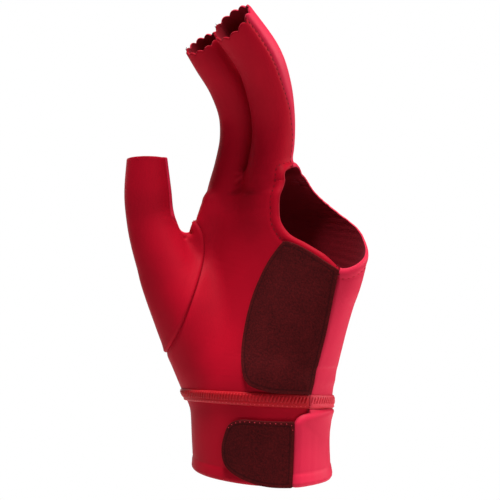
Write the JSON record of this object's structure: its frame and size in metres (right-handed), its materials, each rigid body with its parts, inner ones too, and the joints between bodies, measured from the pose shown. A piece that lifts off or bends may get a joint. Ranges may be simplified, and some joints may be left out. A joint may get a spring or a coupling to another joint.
{
  "type": "billiard glove",
  "caption": "Stretch cloth glove in its worn form, with thumb, index and middle sleeves, an open side for the other fingers, a wrist cuff with a closing tab and a palm pad.",
  "frame": {"origin": "middle of the wrist, at the wrist seam, where the glove sits on the wrist", "axes": "+Z along the hand to the fingertips, +Y out of the back of the hand, +X to the little-finger side"},
  "size_m": [0.1053, 0.0609, 0.2031],
  "materials": {
    "stretch_cloth": "smooth knitted polyester and elastane, satin sheen",
    "back_cloth": "smooth knitted polyester and elastane, pinkish red, satin sheen",
    "seam_thread": "cover-stitched polyester thread",
    "loop_cloth": "brushed loop pile, matte"
  },
  "bodies": {
    "root": {"palm_panel": "stretch_cloth", "back_panel": "back_cloth", "thumb_sleeve": "stretch_cloth", "cuff_palm": "stretch_cloth", "cuff_strap": "back_cloth", "wrist_seam_palm": "seam_thread", "wrist_seam_back": "seam_thread", "wrist_tab": "loop_cloth", "palm_pad": "loop_cloth"}
  },
  "joints": []
}
